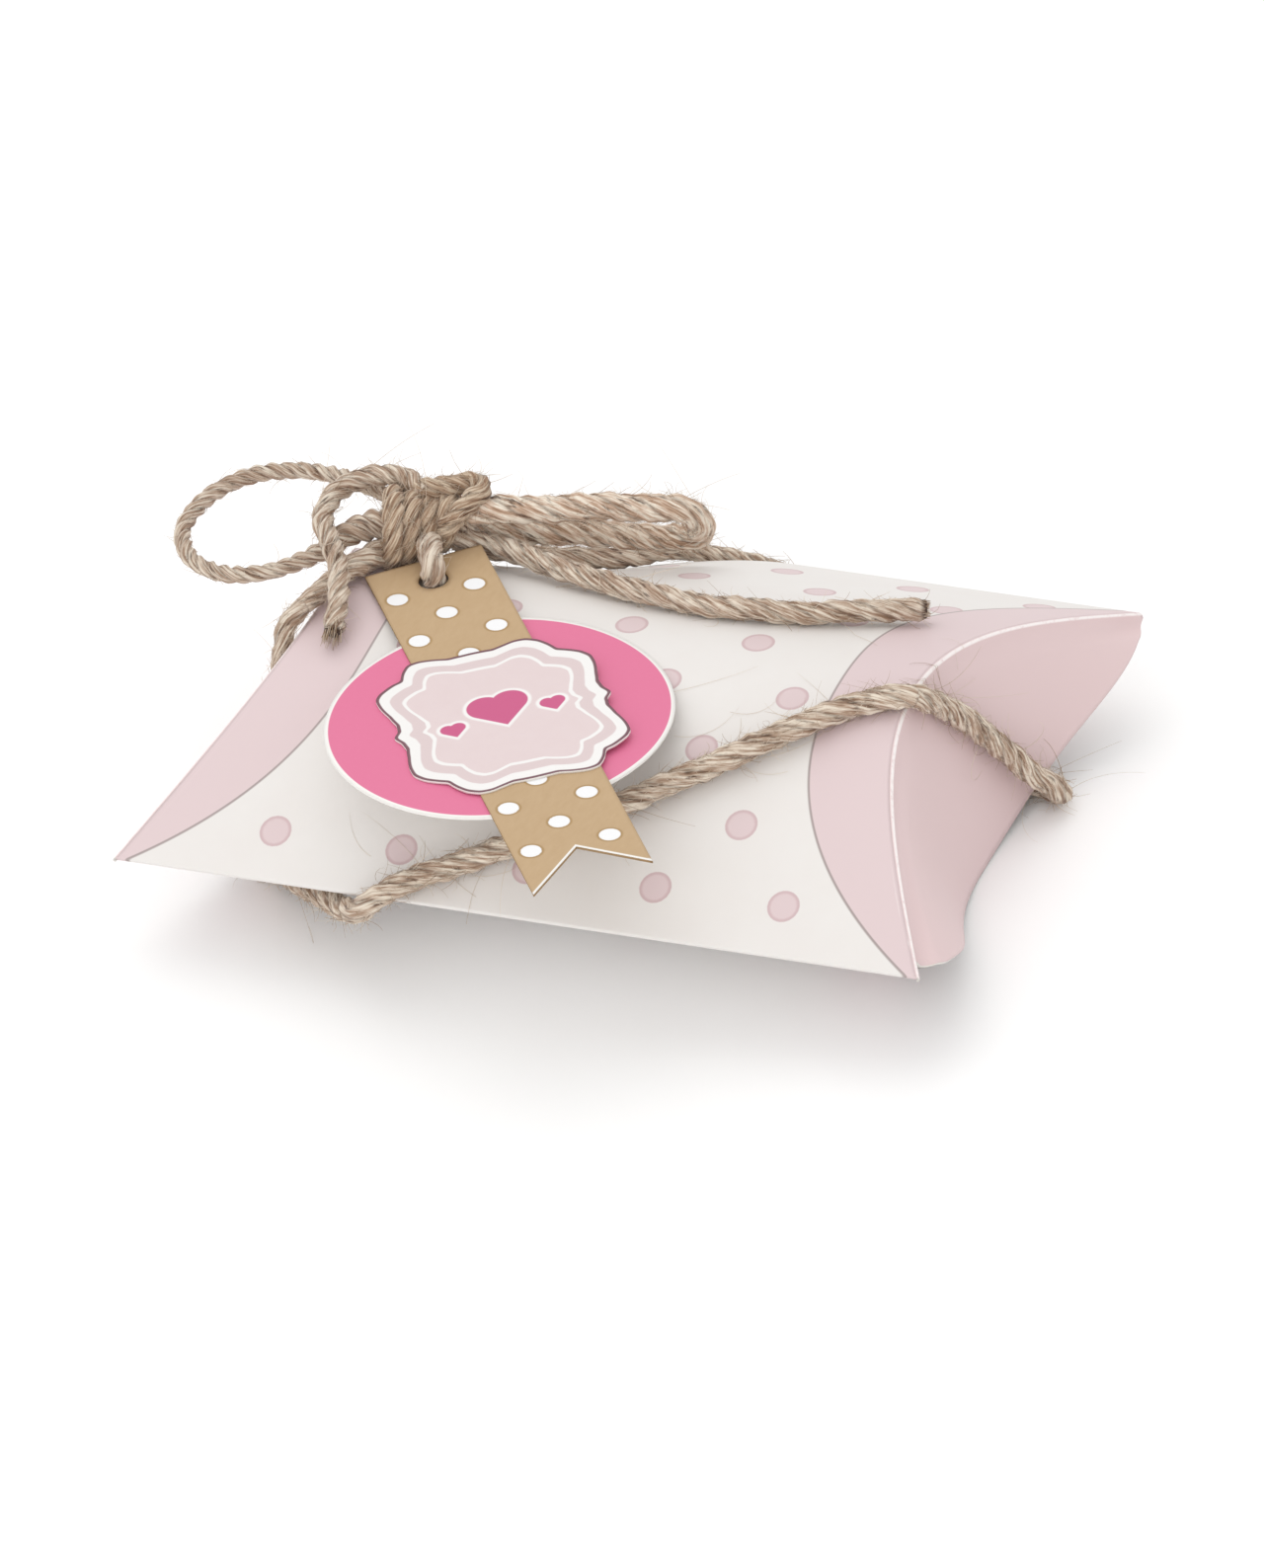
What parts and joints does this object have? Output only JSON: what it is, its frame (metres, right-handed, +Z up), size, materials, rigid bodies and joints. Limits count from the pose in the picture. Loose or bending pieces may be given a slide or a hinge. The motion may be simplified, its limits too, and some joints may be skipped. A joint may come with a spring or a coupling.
{
  "type": "pillow favour box",
  "caption": "Folded card pillow box with curved end flaps, tied diagonally with jute twine in a bow and carrying a layered swallow-tail tag.",
  "frame": {"origin": "middle of the flat belly strip on which the box rests", "axes": "+X along the box between its end tips, +Y across it towards the crease behind the bow, +Z up out of the top panel"},
  "size_m": [0.135, 0.1094, 0.041],
  "materials": {
    "printed_card": "matt coated card, printed dots",
    "plain_card": "uncoated card back",
    "pink_card": "matt coated card, printed",
    "hot_pink_card": "matt coated card, printed",
    "kraft_card": "uncoated kraft card",
    "label_card": "matt coated card, printed",
    "jute_twine": "hairy natural fibre"
  },
  "bodies": {
    "box": {"top_panel": "printed_card", "bottom_panel": "printed_card", "seam_tab": "plain_card", "twine_wrap": "jute_twine", "twine_knot": "jute_twine", "bow_loop_left": "jute_twine", "bow_loop_right": "jute_twine", "twine_tail_left": "jute_twine", "twine_tail_right": "jute_twine", "tag_tie": "jute_twine"},
    "right_outer": {"right_flap_outer": "pink_card"},
    "right_inner": {"right_flap_inner": "pink_card"},
    "left_outer": {"left_flap_outer": "pink_card"},
    "left_inner": {"left_flap_inner": "pink_card"},
    "tag": {"tag_disc": "hot_pink_card", "tag_strip": "kraft_card", "tag_label": "label_card"}
  },
  "joints": [
    {"name": "right_outer_fold", "type": "hinge", "parent": "box", "child": "right_outer", "pos_m": [0.0465, 0, 0.0315], "axis": [0, -1, 0], "range_deg": [0, 100], "deforming": ["twine_wrap"]},
    {"name": "right_inner_fold", "type": "hinge", "parent": "box", "child": "right_inner", "pos_m": [0.0457, 0, 0], "axis": [0, 1, 0], "range_deg": [0, 70], "deforming": ["twine_wrap"]},
    {"name": "left_outer_fold", "type": "hinge", "parent": "box", "child": "left_outer", "pos_m": [-0.0465, 0, 0.0315], "axis": [0, 1, 0], "range_deg": [0, 100], "deforming": ["twine_wrap", "bow_loop_left", "twine_tail_left"]},
    {"name": "left_inner_fold", "type": "hinge", "parent": "box", "child": "left_inner", "pos_m": [-0.0457, 0, 0], "axis": [0, -1, 0], "range_deg": [0, 70], "deforming": ["twine_wrap"]},
    {"name": "tag_lift", "type": "hinge", "parent": "box", "child": "tag", "pos_m": [-0.034, 0.011, 0.0315], "axis": [-0.7771, -0.6293, 0], "range_deg": [0, 75], "deforming": ["tag_tie"]}
  ],
  "couplings": [
    {"joint": "right_inner_fold", "follows": "right_outer_fold", "ratio": 0.7},
    {"joint": "left_inner_fold", "follows": "left_outer_fold", "ratio": 0.7}
  ]
}
